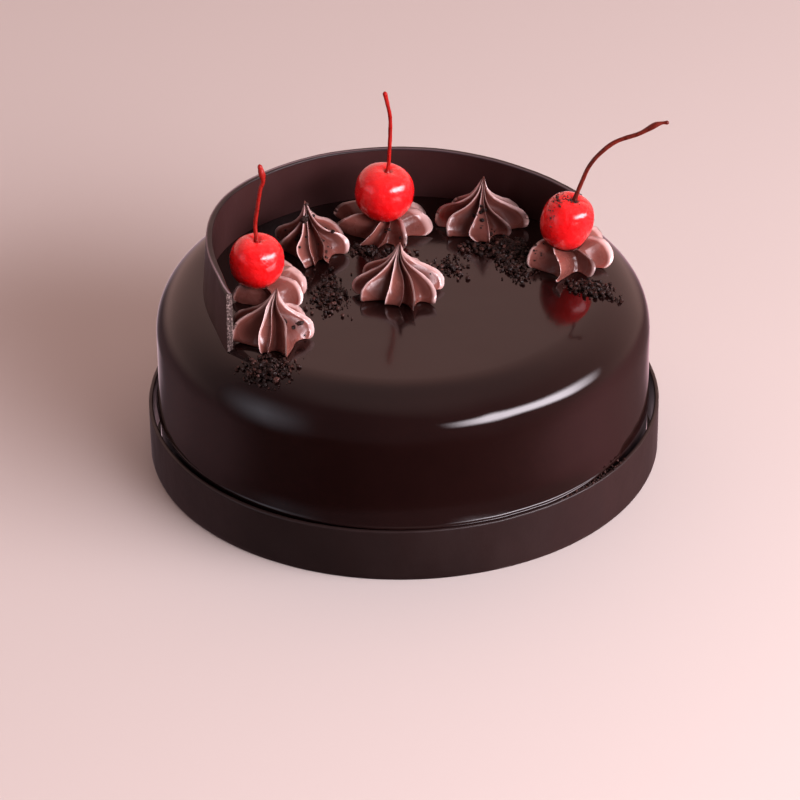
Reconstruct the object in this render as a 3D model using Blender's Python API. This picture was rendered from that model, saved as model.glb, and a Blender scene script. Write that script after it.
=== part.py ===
"""Black forest cake: a round glazed cake with a chocolate band round its foot, a curved
chocolate collar standing on top, seven piped cream swirls and three stemmed cherries.

Metres, +Z up. The origin is the middle of the cake's flat underside, and the front of the
cake, where the collar is open, looks along -Y.
"""

import math

import bpy
import bmesh
from mathutils import Matrix, Vector

for obj in list(bpy.data.objects):
    bpy.data.objects.remove(obj, do_unlink=True)

MM = 0.001
GAP = 0.3 * MM  # clearance between pieces that rest on or in each other

# Glazed cake
CAKE_RADIUS = 78.8 * MM
CAKE_HEIGHT = 60.4 * MM
SHOULDER_RADIUS = 17.0 * MM  # the rounded top edge
FOOT_CHAMFER = 0.8 * MM
CAKE_SEGMENTS = 72
SHOULDER_STEPS = 8

# Chocolate band round the foot: a strip bent into a ring, its ends butting at the back
BAND_RADIUS = 82.5 * MM  # outer
BAND_THICKNESS = 2.0 * MM
BAND_HEIGHT = 17.8 * MM
BAND_WAVE = 0.5 * MM  # the hand-cut top edge rises and falls this much
BAND_SEAM_DEG = 97.0
BAND_SEAM_WIDTH = 0.5 * MM
BAND_SEGMENTS = 72

# Chocolate collar standing on the cake's top. Stations from its front-left end round the
# back to its right end: azimuth in degrees, then the top edge's outer radius and height and
# how much farther out its foot stands, in mm.
COLLAR_THICKNESS = 2.0 * MM
COLLAR_STATIONS = (
    (-141.5, 69.0, 79.3, 0.3),
    (-153.0, 64.6, 79.1, 1.2),
    (-170.0, 62.1, 79.0, 1.6),
    (-200.0, 60.4, 78.9, 1.2),
    (-230.0, 56.7, 78.7, 0.6),
    (-258.0, 54.8, 78.3, 0.2),
    (-285.0, 55.0, 77.8, 0.0),
    (-310.0, 56.7, 77.3, 0.0),
    (-328.0, 59.8, 77.0, 0.0),
    (-338.5, 62.2, 76.9, 0.0),
)
COLLAR_SEGMENTS = 60

# Piped swirls. Each is one squeeze of an eight-pointed star nozzle: eight thin ridges with
# grooves between them, drawn up to a peak or pressed flat under a cherry.
GROOVE_SAMPLES = 5  # points from one ridge to the next
RIDGE_SWAY = 7.0  # degrees the ridges bend to and fro between foot and tip

# From foot to tip: (share of the reach, share of the height, depth of the grooves)
PEAKED = (
    (0.95, 0.00, 0.22),
    (1.00, 0.14, 0.28),
    (0.94, 0.26, 0.33),
    (0.80, 0.36, 0.37),
    (0.50, 0.49, 0.42),
    (0.20, 0.68, 0.40),
    (0.075, 0.86, 0.22),
    (0.045, 0.98, 0.05),
)
# Out round the petals, over their rims and in under the cherry; the last figure moves the
# rows across from the swirl's middle to the cherry's.
PRESSED = (
    (0.88, 0.00, 0.14, 0.0),
    (0.98, 0.20, 0.20, 0.0),
    (1.00, 0.50, 0.25, 0.0),
    (0.93, 0.84, 0.27, 0.0),
    (0.80, 1.00, 0.25, 0.2),
    (0.58, 1.00, 0.18, 0.6),
    (0.35, 0.95, 0.08, 1.0),
    (0.13, 0.90, 0.00, 1.0),
)
SEAT_MARGIN = 0.5 * MM
BLADE = 0.8  # how thin the ridges are on a drawn-up swirl
PETAL = 2.2  # and how round on a pressed one

# name: (x, y, height, lean x, lean y) in mm, then each ridge's azimuth and reach
PEAKED_SWIRLS = {
    "swirl_front_left": (
        (-40.6, -37.4, 17.3, 2.1, 0.6),
        ((38, 12.0), (80, 10.4), (120, 10.6), (158, 11.2), (198, 11.2), (246, 12.8), (299, 12.5), (350, 12.6)),
    ),
    "swirl_back_left": (
        (-28.8, 17.6, 17.6, -2.1, 0.4),
        ((20, 10.8), (64, 11.4), (108, 11.4), (151, 12.6), (195, 11.2), (256, 13.4), (293, 11.6), (337, 12.0)),
    ),
    "swirl_middle": (
        (-1.4, -8.9, 16.9, 0.7, 0.5),
        ((12, 13.4), (62, 12.6), (118, 12.6), (175, 14.6), (216, 14.6), (249, 12.4), (289, 14.4), (331, 13.9)),
    ),
    "swirl_back_right": (
        (25.6, 31.4, 18.1, 0.9, 0.6),
        ((32, 12.6), (78, 12.2), (128, 13.0), (180, 14.8), (228, 14.8), (266, 13.0), (306, 12.8), (350, 14.6)),
    ),
}
PRESSED_SWIRLS = {
    "swirl_left": (
        (-42.4, -14.1, 6.8, 0.0, 0.0),
        ((8, 12.0), (50, 14.4), (95, 12.2), (135, 11.4), (172, 11.0), (206, 11.0), (255, 10.2), (312, 10.4)),
    ),
    "swirl_back": (
        (-6.5, 28.3, 6.8, 0.0, 0.0),
        ((42, 18.0), (76, 14.0), (108, 14.0), (144, 18.8), (190, 13.2), (244, 13.4), (294, 12.6), (352, 15.6)),
    ),
    "swirl_right": (
        (53.9, 7.3, 7.0, 0.0, 0.0),
        ((48, 15.6), (95, 11.8), (145, 12.0), (190, 13.0), (224, 11.8), (259, 14.4), (301, 13.6), (352, 12.8)),
    ),
}

# Cherries: (centre, radius across, radius along the stem axis, tilt to +x, tilt to -y), mm and degrees
CHERRIES = {
    "cherry_left": ((-45.5, -12.3, 73.8), 8.7, 8.8, 2.0, 3.0),
    "cherry_back": ((-5.5, 29.9, 74.7), 9.7, 9.5, 8.0, 4.0),
    "cherry_right": ((52.5, 9.7, 74.5), 8.5, 9.7, 16.0, 4.0),
}
CHERRY_SEGMENTS = 20
CHERRY_RINGS = 12
CHERRY_SQUARENESS = 2.25  # 2 is an ellipsoid, more is a barrel
DIMPLE_DEPTH = 0.24  # share of the radius
DIMPLE_WIDTH = 0.42  # radians from the stem axis

# Stems: (x, z) steps from the dimple, in mm, and how far the tip drifts along y
STEMS = {
    "stem_left": (((-0.4, 5.9), (0.4, 11.8), (1.6, 18.6), (2.6, 22.0), (1.6, 27.2)), 0.6),
    "stem_back": (((0.6, 4.0), (1.0, 11.7), (1.2, 18.4), (0.5, 23.6), (-0.5, 28.7)), 1.2),
    "stem_right": (
        ((1.8, 5.4), (5.5, 14.2), (12.1, 21.1), (20.2, 24.5), (25.7, 27.8), (29.3, 28.6)),
        -1.0,
    ),
}
STEM_RADIUS = 0.70 * MM
STEM_ROOT_RADIUS = 0.95 * MM
STEM_TIP_RADIUS = 1.10 * MM
STEM_SIDES = 8
STEM_STEPS = 13

GLAZE = ("chocolate_glaze", (0.030, 0.011, 0.009), 0.12)
CHOCOLATE = ("dark_chocolate", (0.040, 0.020, 0.017), 0.42)
CREAM = ("chocolate_cream", (0.235, 0.105, 0.085), 0.30)
CHERRY = ("cherry", (0.78, 0.022, 0.016), 0.10)
STEM = ("cherry_stem", (0.33, 0.022, 0.010), 0.28)


def material(spec):
    name, colour, roughness = spec
    found = bpy.data.materials.get(name)
    if found:
        return found
    made = bpy.data.materials.new(name)
    made.use_nodes = True
    shader = made.node_tree.nodes["Principled BSDF"]
    shader.inputs["Base Color"].default_value = (*colour, 1.0)
    shader.inputs["Roughness"].default_value = roughness
    shader.inputs["Metallic"].default_value = 0.0
    return made


def finish(name, bm, spec, sharp_deg=40.0):
    """Turns a bmesh into a closed, outward-facing object with one material."""
    bmesh.ops.recalc_face_normals(bm, faces=bm.faces)
    mesh = bpy.data.meshes.new(name)
    bm.to_mesh(mesh)
    bm.free()
    mesh.materials.append(material(spec))
    mesh.shade_smooth()
    mesh.set_sharp_from_angle(angle=math.radians(sharp_deg))
    obj = bpy.data.objects.new(name, mesh)
    bpy.context.scene.collection.objects.link(obj)
    return obj


def bridge(bm, lower, upper, closed=True):
    """Quads between two rows of vertices."""
    count = len(lower)
    for i in range(count if closed else count - 1):
        j = (i + 1) % count
        bm.faces.new((lower[i], lower[j], upper[j], upper[i]))


def cake_top(radius):
    """Height of the cake's surface at this distance from its axis."""
    inner = CAKE_RADIUS - SHOULDER_RADIUS
    if radius <= inner:
        return CAKE_HEIGHT
    across = min(radius - inner, SHOULDER_RADIUS)
    return CAKE_HEIGHT - SHOULDER_RADIUS + math.sqrt(SHOULDER_RADIUS**2 - across**2)


def glazed_cake():
    profile = [(CAKE_RADIUS - FOOT_CHAMFER, 0.0), (CAKE_RADIUS, FOOT_CHAMFER)]
    inner = CAKE_RADIUS - SHOULDER_RADIUS
    for step in range(SHOULDER_STEPS + 1):
        angle = math.pi / 2 * step / SHOULDER_STEPS
        profile.append(
            (
                inner + SHOULDER_RADIUS * math.cos(angle),
                CAKE_HEIGHT - SHOULDER_RADIUS + SHOULDER_RADIUS * math.sin(angle),
            )
        )
    bm = bmesh.new()
    rows = []
    for radius, z in profile:
        row = []
        for i in range(CAKE_SEGMENTS):
            a = 2 * math.pi * i / CAKE_SEGMENTS
            row.append(bm.verts.new((radius * math.cos(a), radius * math.sin(a), z)))
        rows.append(row)
    for lower, upper in zip(rows, rows[1:]):
        bridge(bm, lower, upper)
    bm.faces.new(reversed(rows[0]))
    bm.faces.new(rows[-1])
    return finish("cake_body", bm, GLAZE, 60.0)


def strip(name, sections, spec):
    """A bent strip: each section is its four corners, from one end to the other."""
    bm = bmesh.new()
    rows = [[bm.verts.new(corner) for corner in section] for section in sections]
    for here, there in zip(rows, rows[1:]):
        bridge(bm, here, there)
    bm.faces.new(rows[0])
    bm.faces.new(reversed(rows[-1]))
    return finish(name, bm, spec, 50.0)


def band_top(azimuth):
    return BAND_HEIGHT + BAND_WAVE * math.sin(2 * (azimuth + math.pi / 2))


def base_band():
    seam = math.radians(BAND_SEAM_DEG)
    half = BAND_SEAM_WIDTH / BAND_RADIUS / 2
    inner = BAND_RADIUS - BAND_THICKNESS
    sections = []
    for i in range(BAND_SEGMENTS + 1):
        a = seam + half + (2 * math.pi - 2 * half) * i / BAND_SEGMENTS
        out = Vector((math.cos(a), math.sin(a), 0.0))
        top = Vector((0, 0, band_top(a)))
        sections.append((out * inner, out * BAND_RADIUS, out * BAND_RADIUS + top, out * inner + top))
    return strip("base_band", sections, CHOCOLATE)


def smooth_through(stations, x):
    """Value at x of a smooth curve through the stations (x, value), which run up or down in x."""
    k = 0
    while k < len(stations) - 2 and (stations[k + 1][0] - x) * (stations[-1][0] - stations[0][0]) < 0:
        k += 1
    (x1, v1), (x2, v2) = stations[k], stations[k + 1]
    x0, v0 = stations[k - 1] if k else (2 * x1 - x2, 2 * v1 - v2)
    x3, v3 = stations[k + 2] if k + 2 < len(stations) else (2 * x2 - x1, 2 * v2 - v1)
    t = (x - x1) / (x2 - x1)
    m1 = (v2 - v0) / (x2 - x0) * (x2 - x1)
    m2 = (v3 - v1) / (x3 - x1) * (x2 - x1)
    return (
        (2 * t**3 - 3 * t**2 + 1) * v1
        + (t**3 - 2 * t**2 + t) * m1
        + (3 * t**2 - 2 * t**3) * v2
        + (t**3 - t**2) * m2
    )


def top_collar():
    def station(k):
        return [(row[0], row[k] * MM) for row in COLLAR_STATIONS]

    first, last = COLLAR_STATIONS[0][0], COLLAR_STATIONS[-1][0]
    places = []
    for i in range(COLLAR_SEGMENTS + 1):
        degrees = first + (last - first) * i / COLLAR_SEGMENTS
        a = math.radians(degrees)
        radius, top, lean = (smooth_through(station(k), degrees) for k in (1, 2, 3))
        out = Vector((math.cos(a), math.sin(a), 0.0))
        places.append((out * radius, out * (radius + lean), top))
    sections = []
    for i, (edge, foot, top) in enumerate(places):
        along = places[min(i + 1, COLLAR_SEGMENTS)][0] - places[max(i - 1, 0)][0]
        inward = Vector((along.y, -along.x, 0.0)).normalized()
        if inward.dot(edge) > 0:
            inward = -inward
        corners = []
        for point in (foot, foot + inward * COLLAR_THICKNESS):
            corners.append((point.x, point.y, cake_top(point.length) + GAP))
        for point in (edge + inward * COLLAR_THICKNESS, edge):
            corners.append((point.x, point.y, top))
        sections.append(corners)
    return strip("top_collar", sections, CHOCOLATE)


def ridged_row(ridges, share, depth, turn, sharpness):
    """(angle, distance) round one level of a swirl: out at each ridge and in at each groove.
    A sharpness under 1 makes a thin ridge, and over 1 a rounded petal."""
    row = []
    for k, (azimuth, reach) in enumerate(ridges):
        next_azimuth, next_reach = ridges[(k + 1) % len(ridges)]
        span = (next_azimuth - azimuth) % 360
        for i in range(GROOVE_SAMPLES):
            t = i / GROOVE_SAMPLES
            ease = t * t * (3 - 2 * t)
            level = reach + (next_reach - reach) * ease
            groove = 1 - depth * math.sin(math.pi * t) ** sharpness
            row.append((math.radians(azimuth + span * t + turn), level * MM * share * groove))
    return row


def piped_swirl(name, place, ridges, profile, seat=None):
    """A star-nozzle swirl standing on the cake; seat is the cherry pressed into it, if any."""
    x, y, height, lean_x, lean_y = (value * MM for value in place)
    foot = cake_top(math.hypot(x, y)) + GAP
    bm = bmesh.new()
    rows = []
    for step in profile:
        share, rise, depth = step[:3]
        middle = Vector((x + lean_x * rise**2, y + lean_y * rise**2))
        if seat:
            middle = middle.lerp(Vector(seat[0][:2]) * MM, step[3])
        turn = RIDGE_SWAY * math.sin(2 * math.pi * rise)
        row = []
        for angle, reach in ridged_row(ridges, share, depth, turn, PETAL if seat else BLADE):
            px = middle.x + reach * math.cos(angle)
            py = middle.y + reach * math.sin(angle)
            pz = foot + height * rise
            if rise == 0.0:  # the foot follows the surface it was piped on
                pz = cake_top(math.hypot(px, py)) + GAP
            elif seat:
                (cx, cy, cz), across, along = seat[0], seat[1] * MM, seat[2] * MM
                off = math.hypot(px - cx * MM, py - cy * MM) / (across + SEAT_MARGIN)
                if off < 1:
                    n = CHERRY_SQUARENESS
                    pz = min(pz, cz * MM - SEAT_MARGIN - along * (1 - off**n) ** (1 / n))
            row.append(bm.verts.new((px, py, pz)))
        rows.append(row)
    for lower, upper in zip(rows, rows[1:]):
        bridge(bm, lower, upper)
    caps = [bm.faces.new(reversed(rows[0])), bm.faces.new(rows[-1])]
    bmesh.ops.triangulate(bm, faces=caps)
    return finish(name, bm, CREAM, 50.0)


def cherry_frame(spec):
    centre, _, _, tilt_x, tilt_y = spec
    axis = Vector((math.tan(math.radians(tilt_x)), -math.tan(math.radians(tilt_y)), 1.0)).normalized()
    turn = Vector((0, 0, 1)).rotation_difference(axis).to_matrix().to_4x4()
    return Matrix.Translation(Vector(centre) * MM) @ turn


def cherry_reach(polar, across, along):
    """Distance from the cherry's middle to its skin, at this angle from the stem axis."""
    n = CHERRY_SQUARENESS
    round_part = (abs(math.sin(polar) / across) ** n + abs(math.cos(polar) / along) ** n) ** (-1 / n)
    return round_part * (1 - DIMPLE_DEPTH * math.exp(-((polar / DIMPLE_WIDTH) ** 2)))


def cherry(name, spec):
    _, across, along, _, _ = spec
    place = cherry_frame(spec)
    bm = bmesh.new()
    rows = []
    for j in range(1, CHERRY_RINGS):
        polar = math.pi * j / CHERRY_RINGS
        reach = cherry_reach(polar, across * MM, along * MM)
        row = []
        for i in range(CHERRY_SEGMENTS):
            a = 2 * math.pi * i / CHERRY_SEGMENTS
            flat = reach * math.sin(polar)
            row.append(bm.verts.new((flat * math.cos(a), flat * math.sin(a), reach * math.cos(polar))))
        rows.append(row)
    top = bm.verts.new((0, 0, cherry_reach(0.0, across * MM, along * MM)))
    bottom = bm.verts.new((0, 0, -cherry_reach(math.pi, across * MM, along * MM)))
    for upper, lower in zip(rows, rows[1:]):
        bridge(bm, lower, upper)
    for i in range(CHERRY_SEGMENTS):
        j = (i + 1) % CHERRY_SEGMENTS
        bm.faces.new((top, rows[0][i], rows[0][j]))
        bm.faces.new((bottom, rows[-1][j], rows[-1][i]))
    bmesh.ops.transform(bm, matrix=place, verts=bm.verts)
    return finish(name, bm, CHERRY, 80.0)


def stem(name, cherry_spec, spec):
    steps, drift = spec
    _, across, along, _, _ = cherry_spec
    place = cherry_frame(cherry_spec)
    root = place @ Vector((0, 0, cherry_reach(0.0, across * MM, along * MM) + GAP))
    reach = len(steps)
    knots_x = [(0, 0.0)] + [(i + 1, s[0] * MM) for i, s in enumerate(steps)]
    knots_z = [(0, 0.0)] + [(i + 1, s[1] * MM) for i, s in enumerate(steps)]
    points = []
    for i in range(STEM_STEPS + 1):
        t = reach * i / STEM_STEPS
        points.append(
            root
            + Vector(
                (
                    smooth_through(knots_x, t),
                    drift * MM * (t / reach) ** 2,
                    smooth_through(knots_z, t),
                )
            )
        )
    bm = bmesh.new()
    rows = []
    for i, point in enumerate(points):
        t = i / STEM_STEPS
        radius = STEM_RADIUS
        radius += (STEM_ROOT_RADIUS - STEM_RADIUS) * math.exp(-((t / 0.10) ** 2))
        radius += (STEM_TIP_RADIUS - STEM_RADIUS) * math.exp(-(((1 - t) / 0.12) ** 2))
        if i in (0, STEM_STEPS):
            radius *= 0.6
        along_path = (points[min(i + 1, STEM_STEPS)] - points[max(i - 1, 0)]).normalized()
        side = Vector((0, 1, 0)).cross(along_path).normalized()
        other = along_path.cross(side)
        row = []
        for k in range(STEM_SIDES):
            a = 2 * math.pi * k / STEM_SIDES
            row.append(bm.verts.new(point + side * radius * math.cos(a) + other * radius * math.sin(a)))
        rows.append(row)
    for lower, upper in zip(rows, rows[1:]):
        bridge(bm, lower, upper)
    bm.faces.new(reversed(rows[0]))
    bm.faces.new(rows[-1])
    return finish(name, bm, STEM, 60.0)


glazed_cake()
base_band()
top_collar()
for swirl_name, (swirl_place, swirl_ridges) in PEAKED_SWIRLS.items():
    piped_swirl(swirl_name, swirl_place, swirl_ridges, PEAKED)
for swirl_name, (swirl_place, swirl_ridges) in PRESSED_SWIRLS.items():
    seated = CHERRIES[swirl_name.replace("swirl", "cherry")]
    piped_swirl(swirl_name, swirl_place, swirl_ridges, PRESSED, seated)
for cherry_name, cherry_spec in CHERRIES.items():
    cherry(cherry_name, cherry_spec)
    stem_name = cherry_name.replace("cherry", "stem")
    stem(stem_name, cherry_spec, STEMS[stem_name])
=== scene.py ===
"""Black forest cake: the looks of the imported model.

Every place below is in the row frame, in metres: the origin is the middle of the cake's flat
underside, +Z is up and the front looks along -Y.
"""

import math
import random

import bpy
import numpy as np
from mathutils import Matrix, Vector, noise
from mathutils.bvhtree import BVHTree


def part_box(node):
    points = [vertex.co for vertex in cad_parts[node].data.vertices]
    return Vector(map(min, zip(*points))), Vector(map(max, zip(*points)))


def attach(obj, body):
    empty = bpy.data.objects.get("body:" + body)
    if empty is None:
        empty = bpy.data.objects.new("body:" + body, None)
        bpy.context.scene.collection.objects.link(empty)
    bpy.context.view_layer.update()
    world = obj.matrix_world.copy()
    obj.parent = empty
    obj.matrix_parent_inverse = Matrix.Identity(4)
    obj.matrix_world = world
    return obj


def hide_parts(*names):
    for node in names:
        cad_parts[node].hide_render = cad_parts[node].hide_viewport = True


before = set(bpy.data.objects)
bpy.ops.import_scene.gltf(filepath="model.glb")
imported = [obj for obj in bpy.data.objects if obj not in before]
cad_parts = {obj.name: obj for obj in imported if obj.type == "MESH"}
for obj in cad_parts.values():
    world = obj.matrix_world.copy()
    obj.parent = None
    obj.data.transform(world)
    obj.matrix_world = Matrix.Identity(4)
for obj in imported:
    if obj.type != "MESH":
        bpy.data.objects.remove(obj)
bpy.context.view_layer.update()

MM = 0.001

# ---------------------------------------------------------------- sizes of the frame's nodes
body_low, body_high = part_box("cake_body")
CAKE_RADIUS = (body_high.x - body_low.x) / 2
CAKE_HEIGHT = body_high.z
SHOULDER = 17.0 * MM
band_low, band_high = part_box("base_band")
BAND_RADIUS = (band_high.x - band_low.x) / 2
BAND_THICKNESS = 1.5 * MM
BAND_HEIGHT = 17.8 * MM


# ---------------------------------------------------------------- small tools
def lerp(a, b, t):
    return a + (b - a) * t


def smoothstep(a, b, x):
    t = min(max((x - a) / (b - a), 0.0), 1.0)
    return t * t * (3 - 2 * t)


def wobble(x, y, z, size, seed=0.0):
    """Smooth noise from -1 to 1 that changes over about size metres."""
    return noise.noise(Vector((x / size + seed * 17.3, y / size - seed * 9.1, z / size + seed * 5.7)))


def curve_through(points, x):
    """Value at x of a smooth curve through (x, value) points, which run up or down in x."""
    k = 0
    while k < len(points) - 2 and (points[k + 1][0] - x) * (points[-1][0] - points[0][0]) < 0:
        k += 1
    (x1, v1), (x2, v2) = points[k], points[k + 1]
    x0, v0 = points[k - 1] if k else (2 * x1 - x2, 2 * v1 - v2)
    x3, v3 = points[k + 2] if k + 2 < len(points) else (2 * x2 - x1, 2 * v2 - v1)
    t = (x - x1) / (x2 - x1)
    m1 = (v2 - v0) / (x2 - x0) * (x2 - x1)
    m2 = (v3 - v1) / (x3 - x1) * (x2 - x1)
    return (
        (2 * t**3 - 3 * t**2 + 1) * v1
        + (t**3 - 2 * t**2 + t) * m1
        + (3 * t**2 - 2 * t**3) * v2
        + (t**3 - t**2) * m2
    )


def cake_top(radius):
    inner = CAKE_RADIUS - SHOULDER
    if radius <= inner:
        return CAKE_HEIGHT
    across = min(radius - inner, SHOULDER)
    return CAKE_HEIGHT - SHOULDER + math.sqrt(max(SHOULDER**2 - across**2, 0.0))


def piece(name, verts, faces, material, node=None, smooth=True, sharp=None):
    mesh = bpy.data.meshes.new(name)
    mesh.from_pydata([tuple(v) for v in verts], [], faces)
    mesh.validate()
    mesh.materials.append(material)
    if smooth:
        mesh.shade_smooth()
        if sharp is not None:
            mesh.set_sharp_from_angle(angle=math.radians(sharp))
    mesh.update()
    obj = bpy.data.objects.new(name, mesh)
    bpy.context.scene.collection.objects.link(obj)
    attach(obj, "root")
    if node:
        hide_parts(node)
    return obj


def ring_faces(rows, closed=True):
    """Quads between rows of vertex numbers."""
    faces = []
    for lower, upper in zip(rows, rows[1:]):
        n = len(lower)
        for i in range(n if closed else n - 1):
            j = (i + 1) % n
            faces.append((lower[i], lower[j], upper[j], upper[i]))
    return faces


def slab(shape, ns, nw, nh):
    """The skin of a bent box: shape(s, w, h) with each of s, w and h from 0 to 1."""
    index, verts, faces = {}, [], []

    def corner(i, j, k):
        key = (i, j, k)
        if key not in index:
            index[key] = len(verts)
            verts.append(shape(i / ns, j / nw, k / nh))
        return index[key]

    for i in range(ns):
        for j in range(nw):
            faces.append((corner(i, j, 0), corner(i, j + 1, 0), corner(i + 1, j + 1, 0), corner(i + 1, j, 0)))
            faces.append((corner(i, j, nh), corner(i + 1, j, nh), corner(i + 1, j + 1, nh), corner(i, j + 1, nh)))
        for k in range(nh):
            faces.append((corner(i, 0, k), corner(i + 1, 0, k), corner(i + 1, 0, k + 1), corner(i, 0, k + 1)))
            faces.append((corner(i, nw, k), corner(i, nw, k + 1), corner(i + 1, nw, k + 1), corner(i + 1, nw, k)))
    for j in range(nw):
        for k in range(nh):
            faces.append((corner(0, j, k), corner(0, j, k + 1), corner(0, j + 1, k + 1), corner(0, j + 1, k)))
            faces.append((corner(ns, j, k), corner(ns, j + 1, k), corner(ns, j + 1, k + 1), corner(ns, j, k + 1)))
    return verts, [tuple(reversed(face)) for face in faces]


# ---------------------------------------------------------------- materials
class Paint:
    """A Principled material with helpers for its procedural nodes."""

    def __init__(self, name):
        self.material = bpy.data.materials.new(name)
        self.material.use_nodes = True
        self.tree = self.material.node_tree
        self.shader = self.tree.nodes["Principled BSDF"]
        self.coords = self.tree.nodes.new("ShaderNodeTexCoord").outputs["Object"]

    def set(self, **values):
        for key, value in values.items():
            self.shader.inputs[key.replace("_", " ")].default_value = value

    def link(self, a, b):
        self.tree.links.new(a, b)

    def noise(self, scale, detail=4.0, roughness=0.55, stretch=None, distortion=0.0):
        node = self.tree.nodes.new("ShaderNodeTexNoise")
        node.inputs["Scale"].default_value = scale
        node.inputs["Detail"].default_value = detail
        node.inputs["Roughness"].default_value = roughness
        node.inputs["Distortion"].default_value = distortion
        source = self.coords
        if stretch:
            mapping = self.tree.nodes.new("ShaderNodeMapping")
            mapping.inputs["Scale"].default_value = stretch
            self.link(source, mapping.inputs["Vector"])
            source = mapping.outputs["Vector"]
        self.link(source, node.inputs["Vector"])
        return node.outputs["Fac"]

    def voronoi(self, scale, feature="F1"):
        node = self.tree.nodes.new("ShaderNodeTexVoronoi")
        node.feature = feature
        node.inputs["Scale"].default_value = scale
        self.link(self.coords, node.inputs["Vector"])
        return node.outputs["Distance"]

    def ramp(self, value, stops):
        node = self.tree.nodes.new("ShaderNodeValToRGB")
        ramp = node.color_ramp
        while len(ramp.elements) < len(stops):
            ramp.elements.new(0.5)
        for element, (at, colour) in zip(ramp.elements, stops):
            element.position = at
            element.color = (*colour, 1.0) if len(colour) == 3 else colour
        self.link(value, node.inputs["Fac"])
        return node.outputs["Color"]

    def span(self, value, low, high, to_low, to_high):
        node = self.tree.nodes.new("ShaderNodeMapRange")
        for key, number in (("From Min", low), ("From Max", high), ("To Min", to_low), ("To Max", to_high)):
            node.inputs[key].default_value = number
        self.link(value, node.inputs["Value"])
        return node.outputs["Result"]

    def math(self, operation, a, b):
        node = self.tree.nodes.new("ShaderNodeMath")
        node.operation = operation
        for socket, value in zip(node.inputs, (a, b)):
            if isinstance(value, (int, float)):
                socket.default_value = value
            else:
                self.link(value, socket)
        return node.outputs["Value"]

    def attribute(self, name):
        node = self.tree.nodes.new("ShaderNodeAttribute")
        node.attribute_name = name
        return node.outputs["Fac"]

    def blend(self, factor, a, b):
        node = self.tree.nodes.new("ShaderNodeMix")
        node.data_type = "RGBA"
        for socket, value in ((node.inputs[0], factor), (node.inputs[6], a), (node.inputs[7], b)):
            if isinstance(value, tuple):
                socket.default_value = (*value, 1.0)
            elif isinstance(value, (int, float)):
                socket.default_value = value
            else:
                self.link(value, socket)
        return node.outputs[2]

    def bump(self, height, strength, distance, after=None):
        node = self.tree.nodes.new("ShaderNodeBump")
        node.inputs["Strength"].default_value = strength
        node.inputs["Distance"].default_value = distance
        self.link(height, node.inputs["Height"])
        if after is not None:
            self.link(after, node.inputs["Normal"])
        self.link(node.outputs["Normal"], self.shader.inputs["Normal"])
        return node.outputs["Normal"]

    def colour(self, value):
        self.link(value, self.shader.inputs["Base Color"])

    def rough(self, value):
        self.link(value, self.shader.inputs["Roughness"])


def glaze_paint():
    p = Paint("mirror_glaze")
    p.set(IOR=1.5, Specular_IOR_Level=0.38)
    p.colour(p.ramp(p.noise(22.0, 3.0), [(0.3, (0.0082, 0.0027, 0.0024)), (0.7, (0.0112, 0.0038, 0.0033))]))
    split = p.tree.nodes.new("ShaderNodeSeparateXYZ")
    p.link(p.coords, split.inputs[0])
    flat = p.span(split.outputs[2], CAKE_HEIGHT - 2.5 * MM, CAKE_HEIGHT - 0.2 * MM, 0.0, 0.045)
    p.rough(p.math("ADD", p.span(p.noise(40.0, 4.0), 0.35, 0.75, 0.050, 0.085), flat))
    slow = p.bump(p.noise(28.0, 1.0), 0.10, 0.002)
    p.bump(p.noise(900.0, 2.0), 0.03, 0.0002, slow)
    return p.material


def chocolate_paint(name, deep, pale):
    p = Paint(name)
    p.set(IOR=1.40)
    base = p.ramp(p.noise(35.0, 6.0), [(0.25, deep), (0.75, pale)])
    # painted shade: the rounded top edge and top face of the collar (the "level" attribute) are darkened towards
    # (0.010, 0.0048, 0.0050)
    base = p.blend(p.attribute("level"), base, (0.010, 0.0048, 0.0050))
    # painted highlight: a pale line along the collar's inner top edge (the "rim" attribute), blended towards (0.30,
    # 0.215, 0.24)
    p.colour(p.blend(p.attribute("rim"), base, (0.30, 0.215, 0.24)))
    p.rough(p.span(p.noise(120.0, 5.0, stretch=(1, 1, 0.35)), 0.3, 0.8, 0.33, 0.47))
    slow = p.bump(p.noise(55.0, 2.0), 0.18, 0.0016)
    p.bump(p.noise(700.0, 4.0), 0.10, 0.0004, slow)
    return p.material


def snapped_paint():
    p = Paint("snapped_chocolate")
    p.set(Roughness=0.62, IOR=1.45)
    grain = p.noise(1500.0, 4.0, 0.7)
    p.colour(p.ramp(grain, [(0.36, (0.030, 0.016, 0.014)), (0.52, (0.075, 0.045, 0.040)), (0.62, (0.30, 0.22, 0.20)), (0.70, (0.10, 0.06, 0.05))]))
    p.bump(grain, 0.7, 0.0006)
    return p.material


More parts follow.
